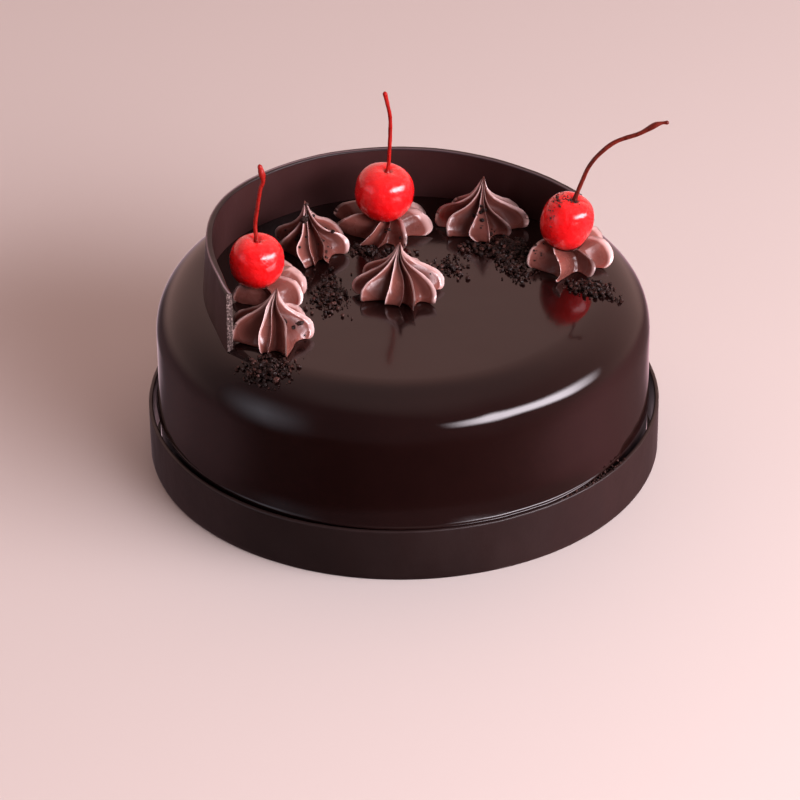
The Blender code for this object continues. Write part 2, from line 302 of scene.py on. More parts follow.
def cream_paint():
    p = Paint("chocolate_cream")
    p.set(IOR=1.50, Specular_IOR_Level=0.36, Subsurface_Weight=0.03, Subsurface_Radius=(0.0016, 0.0009, 0.0007), Subsurface_Scale=1.0)
    tone = p.noise(160.0, 3.0)
    base = p.ramp(tone, [(0.25, (0.198, 0.062, 0.047)), (0.75, (0.268, 0.087, 0.067))])
    # painted shade: deep in the pleats (the "hollow" attribute) the cream is darkened towards (0.098, 0.0305, 0.0235)
    shaded = p.blend(p.attribute("hollow"), base, (0.098, 0.0305, 0.0235))
    # painted highlight: a pale line along each crest (the "crest" attribute), blended towards (0.86, 0.60, 0.56)
    p.colour(p.blend(p.math("MULTIPLY", p.attribute("crest"), 0.95), shaded, (0.86, 0.60, 0.56)))
    matt = p.math("MULTIPLY", p.attribute("hollow"), 0.16)
    sheen = p.math("SUBTRACT", 0.48, p.math("MULTIPLY", p.attribute("hollow"), 0.38))
    p.link(sheen, p.shader.inputs["Specular IOR Level"])
    wet = p.math("MULTIPLY", p.math("SUBTRACT", 1.0, p.attribute("hollow")), 0.38)
    p.link(wet, p.shader.inputs["Coat Weight"])
    p.set(Coat_Roughness=0.12, Coat_IOR=1.42)
    p.rough(p.math("ADD", p.span(p.noise(240.0, 4.0), 0.3, 0.75, 0.15, 0.26), matt))
    slow = p.bump(p.noise(420.0, 3.0, stretch=(1, 1, 0.5)), 0.34, 0.0006)
    p.bump(p.noise(2600.0, 3.0), 0.08, 0.00015, slow)
    return p.material


def cherry_paint():
    p = Paint("cherry_skin")
    p.set(
        IOR=1.42,
        Subsurface_Weight=1.0,
        Subsurface_Radius=(0.0062, 0.0004, 0.0003),
        Subsurface_Scale=1.0,
        Specular_IOR_Level=0.25,
        Coat_Weight=1.0,
        Coat_Roughness=0.03,
        Coat_IOR=1.45,
    )
    mottle = p.noise(230.0, 4.0, 0.6)
    skin = p.ramp(mottle, [(0.30, (0.78, 0.007, 0.010)), (0.70, (0.87, 0.015, 0.017))])
    # painted shade: the cherry's lower part darkens towards (0.52, 0.003, 0.005)
    skin = p.blend(p.attribute("painted_underside_shade"), skin, (0.52, 0.003, 0.005))
    # painted shade: the skin darkens towards (0.30, 0.003, 0.003) in the stem's dimple
    p.colour(p.blend(p.attribute("dimple"), skin, (0.30, 0.003, 0.003)))
    p.rough(p.span(p.noise(300.0, 3.0), 0.3, 0.7, 0.20, 0.34))
    slow = p.bump(p.noise(430.0, 2.0), 0.60, 0.0013)
    p.bump(p.noise(1200.0, 2.0), 0.30, 0.0003, slow)
    return p.material


def stem_paint():
    p = Paint("cherry_stem")
    p.set(IOR=1.45, Specular_IOR_Level=0.3, Coat_Weight=0.12, Coat_Roughness=0.12)
    fresh = p.ramp(p.noise(260.0, 4.0), [(0.30, (0.230, 0.0048, 0.0032)), (0.75, (0.520, 0.0110, 0.0075))])
    dried = p.ramp(p.noise(300.0, 4.0), [(0.30, (0.070, 0.0075, 0.0040)), (0.75, (0.190, 0.0190, 0.0110))])
    p.colour(p.blend(p.attribute("brown"), fresh, dried))
    p.rough(p.span(p.noise(600.0, 3.0), 0.3, 0.7, 0.22, 0.40))
    p.bump(p.noise(1100.0, 3.0, stretch=(1, 1, 0.3)), 0.4, 0.0003)
    return p.material


def crumb_paint():
    p = Paint("chocolate_crumb")
    p.set(IOR=1.45, Specular_IOR_Level=0.30)
    own = p.ramp(p.attribute("tone"), [(0.0, (0.008, 0.0028, 0.0020)), (0.70, (0.028, 0.0098, 0.0070)), (1.0, (0.075, 0.029, 0.022))])
    grain = p.ramp(p.noise(1400.0, 4.0), [(0.35, (0.45, 0.45, 0.45)), (0.65, (1.25, 1.25, 1.25))])
    mix = p.tree.nodes.new("ShaderNodeMix")
    mix.data_type, mix.blend_type = "RGBA", "MULTIPLY"
    mix.inputs[0].default_value = 1.0
    p.link(own, mix.inputs[6])
    p.link(grain, mix.inputs[7])
    p.colour(mix.outputs[2])
    p.rough(p.span(p.noise(900.0, 3.0), 0.3, 0.7, 0.28, 0.60))
    p.bump(p.noise(2200.0, 4.0), 0.5, 0.0004)
    return p.material


GLAZE = glaze_paint()
CHOCOLATE = chocolate_paint("tempered_chocolate", (0.0130, 0.0062, 0.0057), (0.0215, 0.0108, 0.0099))
COLLAR = chocolate_paint("collar_chocolate", (0.0310, 0.0108, 0.0102), (0.0470, 0.0175, 0.0164))
SNAPPED = snapped_paint()
CREAM = cream_paint()
CHERRY = cherry_paint()
STEM = stem_paint()
CRUMB = crumb_paint()


# ---------------------------------------------------------------- glazed cake
# How far the glaze has pooled out over the band, by azimuth in degrees: it sits on the band at the
# front and draws back towards the right; elsewhere it stops at a small lip against the wall.
POOL = (
    (-180, 0.70), (-150, 0.80), (-135, 0.85), (-122, 0.95), (-113, 1.25), (-103, 1.90), (-92, 2.35), (-80, 2.60),
    (-60, 2.60), (-52, 2.40), (-44, 1.65), (-37, 0.95), (-31.5, 0.65), (-29, 0.25), (0, 0.25), (90, 0.30), (180, 0.70),
)
# The pooled edge in profile: (height over the band's top edge in mm, share of the reach)
POOL_PROFILE = (
    (-2.2, 0.0), (-0.6, 0.0), (0.02, 0.0), (0.05, 0.55), (0.10, 0.80), (0.18, 0.94), (0.30, 0.99), (0.43, 1.0),
    (0.56, 0.992), (0.68, 0.968), (0.79, 0.932), (0.88, 0.89), (0.97, 0.84), (1.06, 0.80), (1.18, 0.768), (1.36, 0.735),
    (1.7, 0.675), (2.2, 0.59), (3.0, 0.455), (3.9, 0.32), (5.0, 0.185), (6.2, 0.08), (7.4, 0.02), (8.6, 0.0),
)
ROLL_AT, ROLL_WIDTH, ROLL = math.radians(29.0), math.radians(11.5), 0.25 * MM  # the fuller roll at the front right


def pool(azimuth):
    degrees = math.degrees(azimuth)
    return curve_through(POOL, degrees) * MM


def glazed_cake():
    segments = 400
    # profile rows: (kind, value); heights in mm, angles in radians from level
    rows_at = [("foot", CAKE_RADIUS * k / 6) for k in range(1, 6)]
    rows_at += [("wall", (CAKE_RADIUS - 0.8 * MM, 0.0)), ("wall", (CAKE_RADIUS - 0.25 * MM, 0.25 * MM)), ("wall", (CAKE_RADIUS, 0.8 * MM))]
    rows_at += [("wall", (CAKE_RADIUS, z * MM)) for z in (4.0, 8.0, 12.0, 14.5)]
    rows_at += [("pool", k) for k in range(len(POOL_PROFILE))]
    rows_at += [("wall", (CAKE_RADIUS, z * MM)) for z in (28.0, 30.0, 32.0, 34.0, 36.0, 38.0, 39.8, 41.4, 42.6)]
    rows_at += [("shoulder", math.pi / 2 * k / 44) for k in range(45)]
    inner = CAKE_RADIUS - SHOULDER
    rows_at += [("top", inner * (1 - k / 30)) for k in range(1, 30)]
    verts, rows = [(0.0, 0.0, 0.0)], []
    for kind, value in rows_at:
        row = []
        for i in range(segments):
            a = 2 * math.pi * i / segments
            azimuth = a if a <= math.pi else a - 2 * math.pi
            cos_a, sin_a = math.cos(a), math.sin(a)
            if kind == "foot":
                r, z = value, 0.0
            elif kind == "wall":
                r, z = value
            elif kind == "pool":
                over, share = POOL_PROFILE[value]
                r = CAKE_RADIUS + share * pool(azimuth)
                z = band_top(azimuth) + over * MM
                r += share * 0.10 * MM * wobble(cos_a * 0.08, sin_a * 0.08, 0, 5 * MM, 2.4)
            elif kind == "shoulder":
                level = ROLL_AT + 0.05 * wobble(cos_a * 0.08, sin_a * 0.08, 0, 30 * MM, 3.1)
                out = ROLL * (1 + 0.5 * wobble(cos_a * 0.08, sin_a * 0.08, 0, 17 * MM, 3.7))
                out *= smoothstep(-1.75, -1.35, azimuth) * (1 - smoothstep(-0.3, 0.5, azimuth))
                out *= math.exp(-(((value - level) / ROLL_WIDTH) ** 2)) - 0.14
                dent = ((azimuth + 1.20) / 0.045) ** 2 + ((value - level) / 0.22) ** 2
                out -= 0.10 * MM * math.exp(-dent)
                r = CAKE_RADIUS - SHOULDER + (SHOULDER + out) * math.cos(value)
                z = CAKE_HEIGHT - SHOULDER + (SHOULDER + min(out, 0.0)) * math.sin(value) + max(out, 0.0) * math.sin(value)
            else:
                r, z = value, CAKE_HEIGHT
            if z > 3 * MM:
                x, y = r * cos_a, r * sin_a
                soft = 0.13 * MM * wobble(x, y, z, 30 * MM, 1.0) + 0.035 * MM * wobble(x, y, z, 9 * MM, 2.0)
                edge = smoothstep(CAKE_HEIGHT - 0.02 * MM, CAKE_HEIGHT - SHOULDER, z)
                r += soft * edge
                z -= abs(soft) * 0.6 * (1 - edge)
                # the wall fills out a little towards its foot
                r += 0.35 * MM * smoothstep(34 * MM, 19 * MM, z) * (1.0 if kind in ("wall", "pool") and z > 17 * MM else 0.0)
            row.append(len(verts))
            verts.append((r * cos_a, r * sin_a, z))
        rows.append(row)
    faces = ring_faces(rows)
    for i in range(segments):
        faces.append((0, rows[0][(i + 1) % segments], rows[0][i]))
    top = len(verts)
    verts.append((0.0, 0.0, CAKE_HEIGHT))
    for i in range(segments):
        faces.append((top, rows[-1][i], rows[-1][(i + 1) % segments]))
    return piece("glazed_cake", verts, faces, GLAZE, "cake_body")


# ---------------------------------------------------------------- chocolate band
SEAM = math.radians(97.0)


def band_top(azimuth):
    cut = 0.10 * MM * wobble(math.cos(azimuth) * 0.08, math.sin(azimuth) * 0.08, 0, 6 * MM, 3.0)
    return BAND_HEIGHT + 0.5 * MM * math.sin(2 * (azimuth + math.pi / 2)) + cut


def edge_inset(z, top, radius):
    """How far a face of a slab pulls in near its rounded top edge."""
    over = z - (top - radius)
    if over <= 0:
        return 0.0
    return radius - math.sqrt(max(radius**2 - min(over, radius) ** 2, 0.0))


HEIGHTS = [0.0, 0.03, 0.1, 0.25, 0.45, 0.65, 0.82, 0.92, 0.955, 0.972, 0.984, 0.992, 0.997, 1.0]


def base_band():
    steps = 420
    half = 0.25 * MM / BAND_RADIUS

    def shape(s, w, h):
        h = HEIGHTS[round(h * (len(HEIGHTS) - 1))]
        a = SEAM + half + (2 * math.pi - 2 * half) * s
        top = band_top(a)
        z = top * h
        x, y = math.cos(a), math.sin(a)
        drift = 0.10 * MM * wobble(x * 0.08, y * 0.08, z, 26 * MM, 4.0)
        inset = edge_inset(z, top, 0.52 * MM)
        foot = edge_inset(top - z, top, 0.25 * MM)
        inset = max(inset, foot)
        inner = BAND_RADIUS - BAND_THICKNESS + drift + inset
        outer = BAND_RADIUS - 0.12 * MM + drift - inset
        r = lerp(inner, outer, w)
        if s in (0.0, 1.0):
            jag = 0.12 * MM * wobble(w * 0.004, 0.0, z, 1.2 * MM, 5.0 + s)
            a += jag / BAND_RADIUS
        return (r * math.cos(a), r * math.sin(a), z)

    verts, faces = slab(shape, steps, 4, len(HEIGHTS) - 1)
    return piece("base_band_fine", verts, faces, CHOCOLATE, "base_band", sharp=50)


# ---------------------------------------------------------------- chocolate collar
COLLAR_STATIONS = (
    (-141.5, 69.0, 79.3, 0.3),
    (-153.0, 64.6, 79.1, 1.2),
    (-170.0, 62.1, 79.0, 1.6),
    (-200.0, 60.4, 78.9, 1.2),
    (-230.0, 56.7, 78.7, 0.6),
    (-258.0, 54.8, 78.3, 0.2),
    (-285.0, 55.0, 77.8, 0.0),
    (-310.0, 56.7, 77.3, 0.0),
    (-328.0, 59.8, 77.0, 0.0),
    (-338.5, 62.2, 76.9, 0.0),
)
COLLAR_THICKNESS = 2.0 * MM


def collar_place(degrees):
    a = math.radians(degrees)
    radius, top, lean = (curve_through([(p[0], p[k] * MM) for p in COLLAR_STATIONS], degrees) for k in (1, 2, 3))
    out = Vector((math.cos(a), math.sin(a), 0.0))
    return out * radius, out * (radius + lean), top


def top_collar():
    first, last = COLLAR_STATIONS[0][0], COLLAR_STATIONS[-1][0]
    steps = 260
    places = [collar_place(first + (last - first) * i / steps) for i in range(steps + 1)]

    def shape(s, w, h):
        i = round(s * steps)
        h = HEIGHTS[round(h * (len(HEIGHTS) - 1))]
        edge, foot, top = places[i]
        along = (places[min(i + 1, steps)][0] - places[max(i - 1, 0)][0]).normalized()
        inward = Vector((along.y, -along.x, 0.0))
        if inward.dot(edge) > 0:
            inward = -inward
        top += 0.09 * MM * wobble(edge.x, edge.y, 0.0, 7 * MM, 6.0)
        low = foot + inward * COLLAR_THICKNESS * w
        bottom = cake_top(low.length) + 0.06 * MM
        z = lerp(bottom, top, h)
        centre = foot.lerp(edge, h)
        inset = edge_inset(z, top, 0.45 * MM)
        drift = 0.10 * MM * wobble(edge.x, edge.y, z, 22 * MM, 7.0)
        across = lerp(inset, COLLAR_THICKNESS - inset, w) + drift * (1 if 0 < h < 1 else 0.5)
        point = centre + inward * across
        if i in (0, steps):
            rough = 0.28 * MM * wobble(point.x, point.y, z, 0.9 * MM, 8.0) + 0.14 * MM * wobble(point.x, point.y, z, 0.35 * MM, 9.0)
            point = point + along * (rough if i else -rough * 0.6 + 0.1 * MM)
        return (point.x, point.y, z)

    verts, faces = slab(shape, steps, 5, len(HEIGHTS) - 1)
    obj = piece("top_collar_fine", verts, faces, COLLAR, "top_collar", sharp=50)
    level, rim = [], []
    for v in obj.data.vertices:
        degrees = math.degrees(math.atan2(v.co.y, v.co.x))
        degrees -= 360 if degrees > COLLAR_STATIONS[0][0] + 10 else 0
        foot, edge, top = collar_place(min(max(degrees, COLLAR_STATIONS[-1][0]), COLLAR_STATIONS[0][0]))
        w = (edge.length - math.hypot(v.co.x, v.co.y)) / COLLAR_THICKNESS
        near_top = smoothstep(top - 0.75 * MM, top - 0.25 * MM, v.co.z)
        # level marks the top half millimetre of the collar, where painted shade darkens its top face
        level.append(near_top)
        # rim marks the inner top edge, where a painted highlight line is laid, fainter along part of the collar
        rim.append(near_top * math.exp(-(((w - 0.80) / 0.13) ** 2)) * lerp(0.35, 1.0, smoothstep(-290, -200, degrees)))
    for label, values in (("level", level), ("rim", rim)):
        layer = obj.data.attributes.new(label, "FLOAT", "POINT")
        layer.data.foreach_set("value", values)
    return obj, places


def collar_end(places):
    """The snapped end of the collar: a thin rough plate over its cut face."""
    edge, foot, top = places[0]
    along = (places[1][0] - places[0][0]).normalized()
    inward = Vector((along.y, -along.x, 0.0))
    if inward.dot(edge) > 0:
        inward = -inward

    def shape(s, w, h):
        low = foot + inward * COLLAR_THICKNESS * w
        z = lerp(cake_top(low.length) + 0.1 * MM, top - 0.05 * MM, h)
        inset = edge_inset(z, top, 0.45 * MM) + 0.03 * MM
        point = foot.lerp(edge, h) + inward * lerp(inset, COLLAR_THICKNESS - inset, w)
        if s > 0:
            point = point + along * 0.5 * MM
        else:
            rim = min(w, 1 - w, h * 8, (1 - h) * 8, 0.12) / 0.12
            rough = 0.22 * MM * wobble(point.x, point.y, z, 0.8 * MM, 11.0) + 0.13 * MM * wobble(point.x, point.y, z, 0.3 * MM, 12.0)
            point = point - along * (0.10 * MM + (0.16 * MM + rough) * rim)
        return (point.x, point.y, z)

    verts, faces = slab(shape, 1, 12, 110)
    return piece("collar_snapped_end", verts, faces, SNAPPED, None)


# ---------------------------------------------------------------- cherries and stems
CHERRIES = {
    "cherry_left": ((-45.5, -12.3, 73.8), 8.7, 8.8, 2.0, 3.0),
    "cherry_back": ((-5.5, 29.9, 74.7), 9.7, 9.5, 8.0, 4.0),
    "cherry_right": ((52.5, 9.7, 74.5), 8.5, 9.7, 16.0, 4.0),
}
SQUARENESS = 2.25
# Each stem: its path from the dimple, its drift in y, half its thickness, its root's flare, where it swells
# (how far up, by how much, over how much), and how brown it is
STEMS = {
    "stem_left": (
        ((-0.4, 5.9), (0.4, 11.8), (1.6, 18.6), (2.6, 22.0), (1.6, 27.2)), 0.6,
        0.66, 0.30, ((1.0, 0.32, 0.03), (0.88, 0.42, 0.06)), 0.35,
    ),
    "stem_back": (
        ((0.6, 4.0), (1.0, 11.7), (1.2, 18.4), (0.5, 23.6), (-0.5, 28.7)), 1.2,
        0.62, 0.62, ((1.00, 0.34, 0.05),), 0.0,
    ),
    "stem_right": (
        ((1.8, 5.4), (5.5, 14.2), (12.1, 21.1), (20.2, 24.5), (25.7, 27.8), (29.3, 28.6)), -1.0,
        0.70, 0.34, ((0.79, 0.30, 0.055), (0.91, -0.20, 0.05), (1.00, 0.22, 0.025)), 1.0,
    ),
}


def cherry_frame(spec):
    centre, _, _, tilt_x, tilt_y = spec
    axis = Vector((math.tan(math.radians(tilt_x)), -math.tan(math.radians(tilt_y)), 1.0)).normalized()
    turn = Vector((0, 0, 1)).rotation_difference(axis).to_matrix().to_4x4()
    return Matrix.Translation(Vector(centre) * MM) @ turn


def cherry_reach(polar, across, along):
    n = SQUARENESS
    body = (abs(math.sin(polar) / across) ** n + abs(math.cos(polar) / along) ** n) ** (-1 / n)
    return body * (1 - 0.10 * math.exp(-((polar / 0.50) ** 2)) - 0.13 * math.exp(-((polar / 0.19) ** 2)))


def cherry(name, spec, seed):
    _, across, along, _, _ = spec
    across, along = across * MM, along * MM
    place = cherry_frame(spec)
    rings, segments = 72, 96
    verts, rows, dimple, painted_underside_shade = [], [], [], []
    for j in range(1, rings):
        polar = math.pi * (j / rings) ** 1.12
        row = []
        for i in range(segments):
            a = 2 * math.pi * i / segments
            reach = cherry_reach(polar, across, along)
            d = Vector((math.sin(polar) * math.cos(a), math.sin(polar) * math.sin(a), math.cos(polar)))
            uneven = 0.022 * wobble(d.x, d.y, d.z, 0.9, seed) + 0.009 * wobble(d.x, d.y, d.z, 0.34, seed + 3)
            pucker = 0.022 * math.exp(-(((polar - 0.30) / 0.20) ** 2)) * math.sin(5 * a + seed * 2 + 1.2 * math.sin(2 * a + seed))
            crease = -0.012 * math.exp(-((math.atan2(math.sin(a - seed), math.cos(a - seed)) / 0.16) ** 2)) * math.sin(polar) ** 0.5
            reach *= 1 - 0.012 + uneven + pucker * 0.6 + crease
            p = place @ (d * reach)
            row.append(len(verts))
            verts.append(tuple(p))
            # dimple marks the hollow round the stem, where painted shade darkens the skin
            dimple.append(math.exp(-((polar / 0.16) ** 2)))
            # painted shade on the cherry's underside, fading in from the middle down
            painted_underside_shade.append(smoothstep(1.45, 2.75, polar))
        rows.append(row)
    top = len(verts)
    verts.append(tuple(place @ Vector((0, 0, cherry_reach(0.0, across, along)))))
    dimple.append(1.0)
    painted_underside_shade.append(0.0)
    bottom = len(verts)
    verts.append(tuple(place @ Vector((0, 0, -cherry_reach(math.pi, across, along) * 0.985))))
    dimple.append(0.0)
    painted_underside_shade.append(1.0)
    faces = [tuple(reversed(f)) for f in ring_faces(rows)]
    for i in range(segments):
        j = (i + 1) % segments
        faces.append((top, rows[0][i], rows[0][j]))
        faces.append((bottom, rows[-1][j], rows[-1][i]))
    obj = piece(name + "_fine", verts, faces, CHERRY, name)
    for label, values in (("dimple", dimple), ("painted_underside_shade", painted_underside_shade)):
        layer = obj.data.attributes.new(label, "FLOAT", "POINT")
        layer.data.foreach_set("value", values)
    return obj


def stem(name, cherry_spec, spec, seed):
    path, drift, thick, flare, swellings, brown = spec
    _, across, along, _, _ = cherry_spec
    place = cherry_frame(cherry_spec)
    root = place @ Vector((0, 0, cherry_reach(0.0, across * MM, along * MM) - 0.25 * MM))
    reach = len(path)
    xs = [(0, 0.0)] + [(i + 1, p[0] * MM) for i, p in enumerate(path)]
    zs = [(0, 0.0)] + [(i + 1, p[1] * MM) for i, p in enumerate(path)]
    steps, sides = 90, 14
    points = []
    for i in range(steps + 1):
        t = reach * i / steps
        kink = 0.12 * MM * wobble(t * 0.01, seed, 0, 0.011, seed)
        points.append(root + Vector((curve_through(xs, t) + kink, drift * MM * (t / reach) ** 2 + kink, curve_through(zs, t))))
    verts, rows = [], []
    for i, point in enumerate(points):
        t = i / steps
        radius = thick * MM + 0.07 * MM * wobble(t * 0.1, 0, 0, 0.012, seed + 2)
        radius += flare * MM * math.exp(-((t / 0.050) ** 2))
        for place_at, by, over in swellings:
            radius += by * MM * math.exp(-(((t - place_at) / over) ** 2))
        if i >= steps - 2:
            radius *= (0.86, 0.62, 0.30)[i - (steps - 2)]
        along_path = (points[min(i + 1, steps)] - points[max(i - 1, 0)]).normalized()
        side = Vector((0, 1, 0)).cross(along_path).normalized()
        other = along_path.cross(side)
        row = []
        for k in range(sides):
            a = 2 * math.pi * k / sides
            r = radius * (1 + 0.10 * wobble(math.cos(a), math.sin(a), t * 14, 0.8, seed + 4))
            p = point + side * r * math.cos(a) + other * r * math.sin(a)
            row.append(len(verts))
            verts.append(tuple(p))
        rows.append(row)
    faces = ring_faces(rows)
    faces.append(tuple(reversed(rows[0])))
    faces.append(tuple(rows[-1]))
    obj = piece(name + "_fine", verts, faces, STEM, name)
    layer = obj.data.attributes.new("brown", "FLOAT", "POINT")
    layer.data.foreach_set("value", [brown] * len(verts))
    return obj


# ---------------------------------------------------------------- piped swirls
# From foot to tip: (way up the surface, share of the reach, share of the height, how deep the pleats are)
PEAKED = (
    (0.00, 0.72, 0.000, 0.24),
    (0.05, 0.90, 0.004, 0.30),
    (0.10, 0.98, 0.040, 0.33),
    (0.17, 1.00, 0.110, 0.34),
    (0.25, 0.985, 0.190, 0.36),
    (0.33, 0.925, 0.272, 0.40),
    (0.41, 0.810, 0.350, 0.45),
    (0.49, 0.660, 0.420, 0.50),
    (0.57, 0.510, 0.487, 0.56),
    (0.65, 0.370, 0.560, 0.62),
    (0.73, 0.250, 0.645, 0.66),
    (0.81, 0.150, 0.740, 0.66),
    (0.88, 0.082, 0.840, 0.54),
    (0.94, 0.042, 0.930, 0.28),
    (1.00, 0.018, 1.000, 0.05),
)
PRESSED = (
    (0.00, 0.60, 0.000, 0.24),
    (0.06, 0.86, 0.006, 0.32),
    (0.13, 0.97, 0.060, 0.38),
    (0.21, 1.01, 0.170, 0.41),
    (0.30, 1.00, 0.310, 0.44),
    (0.39, 0.965, 0.470, 0.47),
    (0.48, 0.905, 0.630, 0.50),
    (0.57, 0.825, 0.780, 0.52),
    (0.66, 0.725, 0.900, 0.52),
    (0.75, 0.605, 0.975, 0.50),
    (0.84, 0.465, 0.985, 0.40),
    (0.92, 0.300, 0.940, 0.18),
    (1.00, 0.100, 0.900, 0.00),
)
# Each ridge: (reach in mm, how deep the pleat after it is, then the azimuth of its crest in degrees at five
# heights, foot to tip)
CREST_HEIGHTS = (0.06, 0.20, 0.42, 0.62, 0.85)
PEAKED_SWIRLS = {
    "swirl_front_left": (
        (-40.6, -37.4, 17.3, 2.1, 0.6),
        (
            (14.2, 1.0, 34, 47, 56, 60, 66), (11.2, 1.0, 80, 82, 86, 90, 96), (11.6, 1.0, 113, 114, 118, 122, 128),
            (14.0, 1.1, 148, 147, 145, 147, 150), (12.5, 1.0, 192, 195, 180, 171, 166),
            (11.0, 0.30, 254, 252, 245, 236, 205), (10.9, 1.1, 264, 266, 269, 266, 250),
            (15.0, 1.0, 291, 289, 293, 304, 286), (12.9, 0.9, 355, 364, 370, 373, 378),
        ),
    ),
    "swirl_back_left": (
        (-28.8, 17.6, 17.6, -2.1, 0.4),
        (
            (12.5, 1.0, 33, 45, 57, 62, 68), (11.6, 1.0, 84, 86, 88, 92, 98), (11.6, 1.0, 117, 118, 120, 124, 130),
            (13.4, 1.0, 150, 152, 154, 158, 165), (10.9, 1.3, 182, 189, 200, 205, 212),
            (13.3, 0.30, 262, 258, 246, 246, 232), (12.2, 1.1, 275, 273, 267, 264, 256),
            (11.6, 1.0, 301, 290, 296, 294, 276), (12.0, 0.8, 343, 347, 349, 324, 306),
        ),
    ),
    "swirl_middle": (
        (-1.4, -8.9, 16.9, 0.7, 0.5),
        (
            (14.4, 1.0, 0, 8, 18, 28, 40), (12.8, 1.0, 50, 54, 58, 62, 74), (12.6, 1.0, 98, 98, 100, 104, 110),
            (13.4, 1.0, 146, 144, 143, 145, 150), (14.2, 0.9, 190, 181, 181, 184, 186), (14.2, 1.0, 213, 214, 211, 214, 216),
            (10.9, 0.30, 246, 249, 252, 248, 236), (11.6, 1.1, 271, 275, 281, 282, 262),
            (15.2, 0.9, 289, 289, 294, 298, 280), (15.2, 1.0, 319, 320, 329, 332, 306),
        ),
    ),
    "swirl_back_right": (
        (25.6, 31.4, 18.1, 0.9, 0.6),
        (
            (14.0, 1.0, 16, 25, 34, 38, 46), (12.4, 1.0, 62, 64, 68, 72, 80), (12.2, 1.0, 100, 101, 103, 106, 112),
            (12.8, 1.0, 136, 136, 136, 142, 150), (14.8, 1.1, 178, 166, 163, 178, 186), (13.2, 1.1, 212, 213, 204, 214, 232),
            (11.2, 0.25, 264, 250, 254, 260, 262), (12.6, 1.1, 282, 281, 281, 279, 276),
            (11.6, 1.0, 322, 325, 315, 299, 290), (15.2, 1.0, 355, 354, 358, 350, 322),
        ),
    ),
}
PRESSED_SWIRLS = {
    "swirl_left": (
        (-42.4, -14.1, 6.8, 0.0, 0.0),
        (
            (13.2, 0.5, 14, 26, 44, 54, 60), (15.6, 1.0, 56, 61, 72, 82, 88), (12.2, 1.0, 100, 103, 107, 112, 118),
            (11.2, 1.0, 142, 143, 145, 148, 152), (10.8, 1.3, 186, 184, 182, 180, 180), (7.2, 1.0, 282, 282, 284, 288, 294), (11.0, 1.2, 330, 342, 361, 374, 384),
        ),
    ),
    "swirl_back": (
        (-6.5, 28.3, 6.8, 0.0, 0.0),
        (
            (17.8, 1.1, 32, 38, 45, 48, 50), (14.0, 1.0, 76, 76, 78, 80, 82), (14.0, 1.0, 108, 108, 110, 112, 114),
            (18.6, 1.0, 146, 145, 141, 140, 140), (14.8, 1.2, 172, 174, 180, 184, 186), (12.2, 0.7, 232, 236, 246, 256, 262),
            (11.4, 1.2, 260, 264, 274, 284, 290), (14.2, 1.2, 295, 301, 306, 311, 316), (16.0, 1.0, 350, 357, 367, 371, 374),
        ),
    ),
    "swirl_right": (
        (53.9, 7.3, 7.0, 0.0, 0.0),
        (
            (15.2, 1.0, 42, 48, 52, 55, 58), (11.8, 1.0, 94, 94, 96, 98, 100), (12.0, 1.0, 144, 143, 142, 140, 138),
            (14.2, 0.8, 198, 194, 187, 178, 170), (14.4, 1.3, 250, 249, 253, 247, 228), (12.1, 1.2, 297, 301, 308, 305, 290),
            (13.0, 1.1, 339, 351, 368, 378, 379),
        ),
    ),
}


# Petals that curl up beside their cherry: (swirl, ridge): lift in mm
CURLED = {("swirl_left", 0): 2.5, ("swirl_left", 1): 3.0, ("swirl_left", 2): 1.4, ("swirl_right", 0): 2.2, ("swirl_right", 3): 0.9, ("swirl_right", 6): 0.9}


def pleat_samples(count):
    """Places across one pleat, from its crest (0) to the next crest (1), close together where it turns."""
    places = []
    for i in range(count):
        u = i / count
        places.append(lerp(u, 0.5 - 0.5 * math.cos(math.pi * u), 0.85))
    return places


def pleat(t):
    """How far a pleat has sunk at t: steep beside both crests, lowest nearer the next one."""
    return t**0.62 * (1 - t) ** 0.38 / 0.5148


